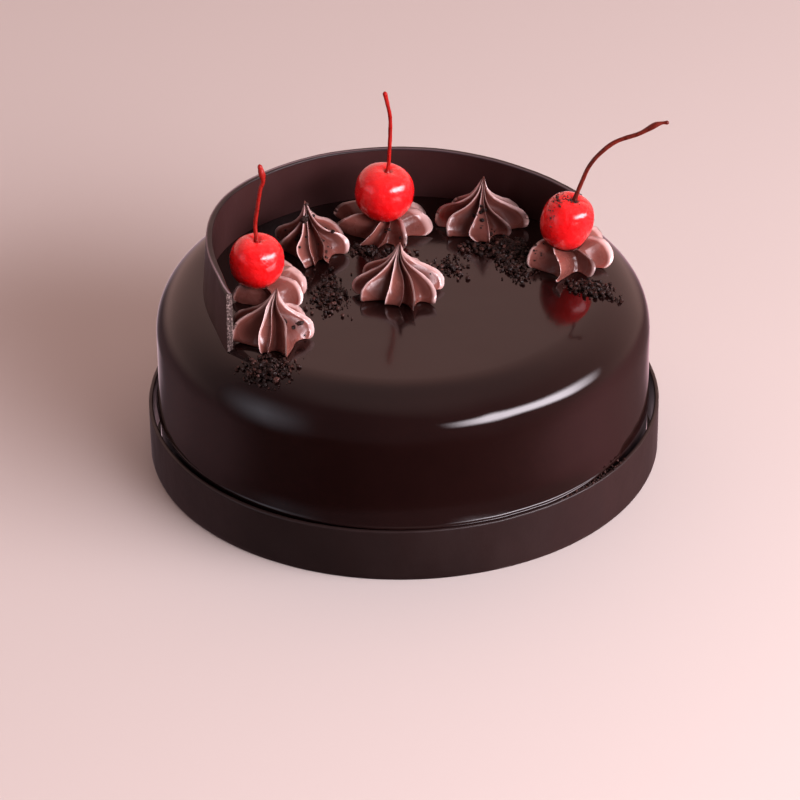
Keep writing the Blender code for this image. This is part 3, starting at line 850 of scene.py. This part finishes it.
def swirl(name, place, ridges, profile, seed, seat=None):
    x, y, height, lean_x, lean_y = (value * MM for value in place)
    dice = random.Random(seed)
    count = len(ridges)
    pressed = seat is not None
    rise_by = [dice.uniform(-0.35, 0.45) for _ in range(count)]
    deep = [dice.uniform(0.90, 1.12) for _ in range(count)]
    curl = [CURLED.get((name, k), 0.0) * MM for k in range(count)]
    crests = [tuple(zip(CREST_HEIGHTS, ridge[2:])) for ridge in ridges]
    rows_n = 100 if not pressed else 90
    samples = pleat_samples({7: 40, 8: 36, 9: 32}.get(count, 30))
    foot = cake_top(math.hypot(x, y)) + 0.05 * MM
    sag = 0.24 if pressed else 0.05
    verts, rows, hollow, painted_crest_highlight = [], [], [], []
    columns = [[(p[0], p[k]) for p in profile] for k in range(1, 4)]
    for step in range(rows_n + 1):
        v = step / rows_n
        share, rise, depth = (curve_through(c, v) for c in columns)
        share = max(share, 0.01)
        rise = max(rise, 0.0)
        middle = Vector((x + lean_x * rise**2, y + lean_y * rise**2))
        if pressed:
            middle = middle.lerp(Vector(seat[0][:2]) * MM, smoothstep(0.55, 0.88, v))
        body = smoothstep(0.02, 0.2, v) * (1 - smoothstep(0.86, 1.0, v))
        level_v = min(max(v, CREST_HEIGHTS[0]), CREST_HEIGHTS[-1])
        bearings = [curve_through(crest, level_v) for crest in crests]
        row = []
        for k in range(count):
            nxt = (k + 1) % count
            azimuth, reach = bearings[k], ridges[k][0]
            gap = bearings[nxt] + (360 if nxt == 0 else 0) - azimuth
            gap = max(gap, 4.0)
            next_reach = ridges[nxt][0]
            for t in samples:
                ease = t * t * (3 - 2 * t)
                level = lerp(reach, next_reach, ease) * MM * share
                arc = math.radians(gap) * level * (1 - 0.5 * depth)
                sunk = pleat(t) * ridges[k][1]
                fall = math.hypot(level * depth * min(sunk, 1.25), height * sag * min(sunk, 1.0))
                near = math.hypot(min(t, 1 - t) * arc, fall)
                bead = math.exp(-((near / (0.30 * MM)) ** 2)) * body
                distance = level * (1 - depth * lerp(deep[k], deep[nxt], ease) * min(sunk, 1.25))
                distance += 0.34 * MM * bead
                turn = 1.2 * wobble(v * 0.01, k * 0.01, 0.0, 0.0022, seed) * body
                angle = math.radians(azimuth + gap * t + turn)
                px = middle.x + distance * math.cos(angle)
                py = middle.y + distance * math.sin(angle)
                pz = foot + height * rise
                pz += lerp(rise_by[k], rise_by[nxt], ease) * MM * body
                pz += lerp(curl[k], curl[nxt], ease) * smoothstep(0.02, 0.26, v) * (1 - smoothstep(0.45, 0.80, v))
                pz += 0.24 * MM * bead - height * sag * min(sunk, 1.0) * body
                rough = 0.17 * MM * wobble(px, py, pz, 3.6 * MM, seed) + 0.09 * MM * wobble(px, py, pz, 1.5 * MM, seed + 1)
                rough *= body
                px += rough * math.cos(angle)
                py += rough * math.sin(angle)
                pz += rough * 0.5
                if pressed:
                    (cx, cy, cz), across, along = seat[0], seat[1] * MM, seat[2] * MM
                    off = math.hypot(px - cx * MM, py - cy * MM) / (across + 0.15 * MM)
                    if off < 1:
                        n = SQUARENESS
                        pz = min(pz, cz * MM - 0.12 * MM - along * (1 - off**n) ** (1 / n))
                floor_z = cake_top(math.hypot(px, py)) + 0.05 * MM
                pz = floor_z if v == 0.0 else max(pz, floor_z)
                row.append(len(verts))
                verts.append((px, py, pz))
                # hollow: how deep in its pleat a point lies; it carries the painted shade in the hollows and their
                # rougher, less glossy finish
                hollow.append(min(max(sunk * 1.7 - 0.12, 0.0), 1.0) * smoothstep(0.0, 0.34, v) * (0.6 if pressed else 1.0))
                # the crest attribute carries a painted highlight along each crest line
                painted_crest_highlight.append(math.exp(-((near / (0.34 * MM)) ** 2)) * body)
        rows.append(row)
    faces = ring_faces(rows)
    faces.append(tuple(reversed(rows[0])))
    centre = len(verts)
    lift = 0.0 if pressed else 0.12 * MM
    verts.append(tuple(np.mean([verts[k] for k in rows[-1]], axis=0) + np.array((0, 0, lift))))
    hollow.append(0.0)
    painted_crest_highlight.append(0.0)
    n = len(rows[-1])
    for i in range(n):
        faces.append((centre, rows[-1][i], rows[-1][(i + 1) % n]))
    obj = piece(name + "_fine", verts, faces, CREAM, name)
    for label, values in (("hollow", hollow), ("crest", painted_crest_highlight)):
        layer = obj.data.attributes.new(label, "FLOAT", "POINT")
        layer.data.foreach_set("value", values)
    return obj


# ---------------------------------------------------------------- crumbs
def crumb_shape(dice, size):
    """One crumb: a small angular lump, as vertices and faces."""
    g = (1 + math.sqrt(5)) / 2
    base = [Vector(c).normalized() for c in (
        (-1, g, 0), (1, g, 0), (-1, -g, 0), (1, -g, 0), (0, -1, g), (0, 1, g),
        (0, -1, -g), (0, 1, -g), (g, 0, -1), (g, 0, 1), (-g, 0, -1), (-g, 0, 1))]
    tris = [(0, 11, 5), (0, 5, 1), (0, 1, 7), (0, 7, 10), (0, 10, 11), (1, 5, 9), (5, 11, 4), (11, 10, 2),
            (10, 7, 6), (7, 1, 8), (3, 9, 4), (3, 4, 2), (3, 2, 6), (3, 6, 8), (3, 8, 9), (4, 9, 5),
            (2, 4, 11), (6, 2, 10), (8, 6, 7), (9, 8, 1)]
    points = list(base)
    middle = {}

    def mid(a, b):
        key = (min(a, b), max(a, b))
        if key not in middle:
            middle[key] = len(points)
            points.append(((points[a] + points[b]) / 2).normalized())
        return middle[key]

    if size > 0.55 * MM:
        finer = []
        for a, b, c in tris:
            ab, bc, ca = mid(a, b), mid(b, c), mid(c, a)
            finer += [(a, ab, ca), (b, bc, ab), (c, ca, bc), (ab, bc, ca)]
        tris = finer
    squash = Vector((dice.uniform(0.65, 1.25), dice.uniform(0.65, 1.1), dice.uniform(0.5, 0.95)))
    spin = Matrix.Rotation(dice.uniform(0, 2 * math.pi), 3, "Z") @ Matrix.Rotation(dice.uniform(-0.6, 0.6), 3, "X")
    seed = dice.uniform(0, 50)
    out = []
    for p in points:
        lump = 1 + 0.38 * noise.noise(p * 1.7 + Vector((seed, 0, 0))) + 0.22 * noise.noise(p * 3.9 + Vector((0, seed, 0)))
        q = Vector((p.x * squash.x, p.y * squash.y, p.z * squash.z)) * lump * size
        out.append(spin @ q)
    return out, tris


# Heaps on the cake's top: (x, y, spread across, spread back, turn in degrees, how many, height), in mm
HEAPS = (
    (-42.0, -55.0, 8.5, 6.0, -6, 420, 1.7),
    (-41.0, -54.0, 9.5, 6.0, 0, 110, 0.3),
    (-22.2, -12.0, 4.8, 9.0, 6, 230, 0.9),
    (-23.0, -11.5, 8.0, 15.0, 6, 130, 0.2),
    (-11.5, 17.0, 7.0, 4.0, 0, 210, 1.0),
    (-2.0, 15.0, 6.0, 3.5, 0, 50, 0.3),
    (15.0, 5.0, 7.0, 7.5, -15, 130, 0.3),
    (34.0, 15.5, 7.0, 7.5, -10, 560, 2.2),
    (36.0, 5.0, 5.5, 9.0, 12, 300, 0.9),
    (43.0, 8.5, 5.5, 8.0, 20, 150, 0.5),
    (23.0, 17.5, 5.0, 4.0, 0, 90, 0.5),
    (60.0, -9.5, 8.0, 4.6, -22, 400, 1.5),
    (63.0, -12.0, 8.0, 4.0, -25, 60, 0.2),
)
# Crumbs caught on the cream: (x, y, spread across, spread back, how many), in mm
CAUGHT = (
    (-32.0, 15.0, 4.0, 6.0, 30),
    (-23.5, 12.0, 3.5, 4.5, 22),
    (-37.0, 19.0, 3.0, 4.0, 12),
    (33.5, 19.5, 4.5, 4.0, 60),
    (37.0, 24.0, 3.0, 4.0, 26),
    (26.0, 24.0, 5.0, 4.5, 22),
    (9.5, -4.5, 2.5, 3.0, 12),
    (-4.0, 18.5, 5.0, 3.0, 12),
    (-33.0, -36.0, 5.0, 4.5, 9),
    (47.0, 11.0, 4.0, 3.5, 9),
)
# The same on the right-hand cherry
DUSTED = ((49.6, 8.0, 3.4, 3.4, 60), (53.4, 8.6, 2.6, 2.2, 34), (47.2, 4.6, 2.4, 3.0, 16))


def crumbs(tops, creams, fruit):
    """Chocolate crumbs, dropped straight down: on the glaze in heaps, and a few on the cream and a cherry."""
    dice = random.Random(41)
    verts, faces, tones = [], [], []

    def drop(px, py, pz, size, tone):
        points, tris = crumb_shape(dice, size)
        start = len(verts)
        low = min(p.z for p in points)
        for p in points:
            verts.append((px + p.x, py + p.y, pz + p.z - low))
            tones.append(tone)
        faces.extend((a + start, b + start, c + start) for a, b, c in tris)

    def landing(px, py, surfaces):
        best = None
        for tree in surfaces:
            hit, normal, _, _ = tree.ray_cast(Vector((px, py, 0.2)), Vector((0, 0, -1)))
            if hit is not None and (best is None or hit.z > best[0]):
                best = (hit.z, normal)
        return best

    def some_size():
        return dice.choice((0.17, 0.22, 0.28, 0.35, 0.42, 0.50, 0.60, 0.74)) * MM * dice.uniform(0.8, 1.2)

    for x, y, wide, deep, turn, count, high in HEAPS:
        a = math.radians(turn)
        for _ in range(count):
            u, v = dice.gauss(0, 0.52), dice.gauss(0, 0.52)
            if u * u + v * v > 1.7:
                continue
            dx, dy = u * wide, v * deep
            px = (x + dx * math.cos(a) - dy * math.sin(a)) * MM
            py = (y + dx * math.sin(a) + dy * math.cos(a)) * MM
            if math.hypot(px, py) > CAKE_RADIUS - 5 * MM:
                continue
            spot = landing(px, py, tops)
            if landing(px, py, fruit) is not None or spot is None:
                continue
            on_cream = landing(px, py, creams)
            size = some_size()
            if on_cream is not None and on_cream[0] > spot[0]:
                if dice.random() < 0.75:
                    continue
                drop(px, py, on_cream[0] - size * 0.4, size * 0.8, dice.random())
                continue
            pile = high * MM * math.exp(-(u * u + v * v) * 1.8) * dice.random() ** 0.7
            drop(px, py, spot[0] - 0.04 * MM + pile, size, dice.random())
    for _ in range(90):
        azimuth = math.radians(dice.triangular(-56, -30, -42))
        wall = CAKE_RADIUS + pool(azimuth) + 0.1 * MM
        r = dice.uniform(wall, BAND_RADIUS - 0.45 * MM)
        drop(r * math.cos(azimuth), r * math.sin(azimuth), band_top(azimuth) - 0.12 * MM, dice.uniform(0.22, 0.50) * MM, dice.random())
    for places, surfaces, scale in ((CAUGHT, creams, 1.3), (DUSTED, fruit, 0.58)):
        for x, y, wide, deep, count in places:
            for _ in range(count):
                px, py = (x + dice.gauss(0, 0.5) * wide) * MM, (y + dice.gauss(0, 0.5) * deep) * MM
                spot = landing(px, py, surfaces)
                if spot is None or spot[1].z < 0.12:
                    continue
                size = some_size() * scale
                drop(px, py, spot[0] - size * 0.45, size, dice.uniform(0.0, 0.7) if scale > 1 else dice.uniform(0.35, 0.9))
    obj = piece("crumbs", verts, faces, CRUMB, None, smooth=False)
    layer = obj.data.attributes.new("tone", "FLOAT", "POINT")
    layer.data.foreach_set("value", tones)
    return obj


# ---------------------------------------------------------------- build
def tree_of(obj):
    mesh = obj.data
    return BVHTree.FromPolygons([v.co for v in mesh.vertices], [tuple(f.vertices) for f in mesh.polygons])


cake = glazed_cake()
base_band()
collar, collar_places = top_collar()
collar_end(collar_places)
creams, fruit = [], []
for number, (swirl_name, (swirl_place, swirl_ridges)) in enumerate(PEAKED_SWIRLS.items()):
    creams.append(swirl(swirl_name, swirl_place, swirl_ridges, PEAKED, 11 + number))
for number, (swirl_name, (swirl_place, swirl_ridges)) in enumerate(PRESSED_SWIRLS.items()):
    seat = CHERRIES[swirl_name.replace("swirl", "cherry")]
    creams.append(swirl(swirl_name, swirl_place, swirl_ridges, PRESSED, 31 + number, seat))
for number, (cherry_name, cherry_spec) in enumerate(CHERRIES.items()):
    fruit.append(cherry(cherry_name, cherry_spec, 1.7 + number * 2.3))
    stem_name = cherry_name.replace("cherry", "stem")
    stem(stem_name, cherry_spec, STEMS[stem_name], 4.1 + number)
crumbs([tree_of(cake)], [tree_of(o) for o in creams], [tree_of(o) for o in fruit])


# ---------------------------------------------------------------- stage, light and camera
def stage_material(name, colour, roughness):
    p = Paint(name)
    p.set(Roughness=roughness, Base_Color=(*colour, 1.0))
    p.shader.inputs["Specular IOR Level"].default_value = 0.2
    return p.material


def floor():
    size = 4.0
    mesh = bpy.data.meshes.new("floor")
    mesh.from_pydata([(-size, -size, 0), (size, -size, 0), (size, size, 0), (-size, size, 0)], [], [(0, 1, 2, 3)])
    mesh.materials.append(stage_material("pale_floor", (0.66, 0.60, 0.56), 0.75))
    obj = bpy.data.objects.new("floor", mesh)
    obj.location.z = -0.0002
    obj.visible_glossy = False  # the glaze mirrors the dim room, as it does above its stand
    bpy.context.scene.collection.objects.link(obj)


def softbox(name, azimuth, elevation, distance, width, height, radiance, colour, roll=0.0, soft=0.35):
    """An area light that faces the cake and fades out towards its edges.

    azimuth and elevation are where it stands, seen from the cake; soft is the share of each side
    over which it fades.
    """
    light = bpy.data.lights.new(name, "AREA")
    light.shape = "RECTANGLE"
    light.size, light.size_y = width, height
    light.energy = radiance * math.pi * width * height
    light.color = colour
    light.use_nodes = True
    tree = light.node_tree
    emission = tree.nodes["Emission"]
    where = tree.nodes.new("ShaderNodeNewGeometry").outputs["Parametric"]
    split = tree.nodes.new("ShaderNodeSeparateXYZ")
    tree.links.new(where, split.inputs[0])
    fades = []
    for axis in (0, 1):
        centred = tree.nodes.new("ShaderNodeMath")
        centred.operation = "SUBTRACT"
        tree.links.new(split.outputs[axis], centred.inputs[0])
        centred.inputs[1].default_value = 0.5
        size = tree.nodes.new("ShaderNodeMath")
        size.operation = "ABSOLUTE"
        tree.links.new(centred.outputs[0], size.inputs[0])
        fade = tree.nodes.new("ShaderNodeMapRange")
        fade.interpolation_type = "SMOOTHSTEP"
        for key, value in (("From Min", 0.5 - soft), ("From Max", 0.5), ("To Min", 1.0), ("To Max", 0.0)):
            fade.inputs[key].default_value = value
        tree.links.new(size.outputs[0], fade.inputs["Value"])
        fades.append(fade.outputs["Result"])
    both = tree.nodes.new("ShaderNodeMath")
    both.operation = "MULTIPLY"
    tree.links.new(fades[0], both.inputs[0])
    tree.links.new(fades[1], both.inputs[1])
    tree.links.new(both.outputs[0], emission.inputs["Strength"])
    a, e = math.radians(azimuth), math.radians(elevation)
    out = Vector((math.cos(a) * math.cos(e), math.sin(a) * math.cos(e), math.sin(e)))
    obj = bpy.data.objects.new(name, light)
    turn = out.to_track_quat("Z", "Y").to_matrix().to_4x4() @ Matrix.Rotation(math.radians(roll), 4, "Z")
    obj.matrix_world = Matrix.Translation(out * distance + Vector((0, 0, 0.05))) @ turn
    bpy.context.scene.collection.objects.link(obj)
    return obj


# The room seen from the cake, by azimuth in degrees (-90 is the front): colours below and above level
LOW_ROOM = (
    (-180, (0.22, 0.12, 0.13)), (-167, (0.115, 0.063, 0.068)), (-155, (0.036, 0.022, 0.023)), (-139, (0.028, 0.019, 0.019)),
    (-128, (0.006, 0.004, 0.004)), (-90, (0.004, 0.002, 0.002)), (-55, (0.012, 0.006, 0.005)), (-30, (0.16, 0.080, 0.080)),
    (-12, (0.52, 0.235, 0.25)), (7, (0.53, 0.235, 0.25)), (22, (0.36, 0.165, 0.17)), (43, (0.20, 0.105, 0.105)),
    (64, (0.13, 0.075, 0.078)), (74, (0.52, 0.30, 0.34)), (84, (0.85, 0.52, 0.58)), (96, (0.60, 0.41, 0.45)), (104, (0.46, 0.32, 0.36)),
    (114, (0.08, 0.050, 0.055)), (126, (0.10, 0.060, 0.065)), (144, (0.17, 0.095, 0.10)), (180, (0.22, 0.12, 0.13)),
)
HIGH_ROOM = (
    (-180, (0.22, 0.15, 0.155)), (-140, (0.11, 0.075, 0.08)), (-120, (0.08, 0.057, 0.061)), (-60, (0.09, 0.065, 0.07)),
    (-20, (0.18, 0.13, 0.135)), (20, (0.49, 0.32, 0.29)), (50, (0.73, 0.435, 0.39)), (130, (0.73, 0.435, 0.39)),
    (160, (0.44, 0.285, 0.265)), (180, (0.22, 0.15, 0.155)),
)
OVERHEAD = (0.42, 0.31, 0.30)


def room():
    """The room around the table: a warm wall behind, dim towards the front, with soft shapes to the sides."""
    world = bpy.data.worlds.new("studio")
    bpy.context.scene.world = world
    world.use_nodes = True
    tree = world.node_tree
    direction = tree.nodes.new("ShaderNodeTexCoord").outputs["Generated"]
    split = tree.nodes.new("ShaderNodeSeparateXYZ")
    tree.links.new(direction, split.inputs[0])
    around = tree.nodes.new("ShaderNodeMath")
    around.operation = "ARCTAN2"
    tree.links.new(split.outputs[1], around.inputs[0])
    tree.links.new(split.outputs[0], around.inputs[1])

    def span(source, low, high, smooth=True):
        node = tree.nodes.new("ShaderNodeMapRange")
        node.interpolation_type = "SMOOTHSTEP" if smooth else "LINEAR"
        node.inputs["From Min"].default_value = low
        node.inputs["From Max"].default_value = high
        tree.links.new(source, node.inputs["Value"])
        return node.outputs["Result"]

    def ring(stops):
        node = tree.nodes.new("ShaderNodeValToRGB")
        node.color_ramp.interpolation = "B_SPLINE"
        elements = node.color_ramp.elements
        while len(elements) < len(stops):
            elements.new(0.5)
        for element, (degrees, colour) in zip(elements, stops):
            element.position = (degrees + 180) / 360
            element.color = (*colour, 1.0)
        tree.links.new(span(around.outputs[0], -math.pi, math.pi, False), node.inputs["Fac"])
        return node.outputs["Color"]

    def mix(factor, a, b):
        node = tree.nodes.new("ShaderNodeMix")
        node.data_type = "RGBA"
        tree.links.new(factor, node.inputs[0])
        for socket, value in ((node.inputs[6], a), (node.inputs[7], b)):
            if isinstance(value, tuple):
                socket.default_value = (*value, 1.0)
            else:
                tree.links.new(value, socket)
        return node.outputs[2]

    sides = mix(span(split.outputs[2], -0.30, 0.02), ring(LOW_ROOM), ring(HIGH_ROOM))
    whole = mix(span(split.outputs[2], 0.71, 0.985), sides, OVERHEAD)
    tree.links.new(whole, tree.nodes["Background"].inputs["Color"])
    tree.nodes["Background"].inputs["Strength"].default_value = 1.3


def studio():
    room()
    softbox("key_right", -32, 23, 1.3, 2.2, 0.66, 22.0, (1.0, 0.90, 0.98), -8, 0.38)
    softbox("fill_left", -152, 8, 1.3, 1.30, 1.60, 1.65, (0.82, 0.86, 1.0), 10, 0.60)


def camera():
    """Pinhole at the photograph's viewing angle."""
    unit = BAND_RADIUS
    yaw, pitch, roll = -0.00115815644, 0.554245801, -0.0114618489
    place = Vector((0.0, -12.6768862 * unit, 8.01851342 * unit))
    forward = Vector((math.sin(yaw) * math.cos(pitch), math.cos(yaw) * math.cos(pitch), -math.sin(pitch)))
    right = Vector((math.cos(yaw), -math.sin(yaw), 0.0))
    up = right.cross(forward)
    x_axis = right * math.cos(roll) + up * math.sin(roll)
    y_axis = up * math.cos(roll) - right * math.sin(roll)
    matrix = Matrix((x_axis, y_axis, -forward)).transposed().to_4x4()
    matrix.translation = place
    data = bpy.data.cameras.new("camera")
    data.sensor_width = 36.0
    data.lens = 3795.21706 * 36.0 / 800.0
    data.clip_start, data.clip_end = 0.05, 30.0
    obj = bpy.data.objects.new("camera", data)
    obj.matrix_world = matrix
    bpy.context.scene.collection.objects.link(obj)
    bpy.context.scene.camera = obj


floor()
studio()
camera()
bpy.context.scene.view_settings.view_transform = "Standard"
bpy.context.scene.view_settings.look = "None"
bpy.context.scene.view_settings.exposure = 0.0
bpy.context.scene.view_settings.gamma = 1.0
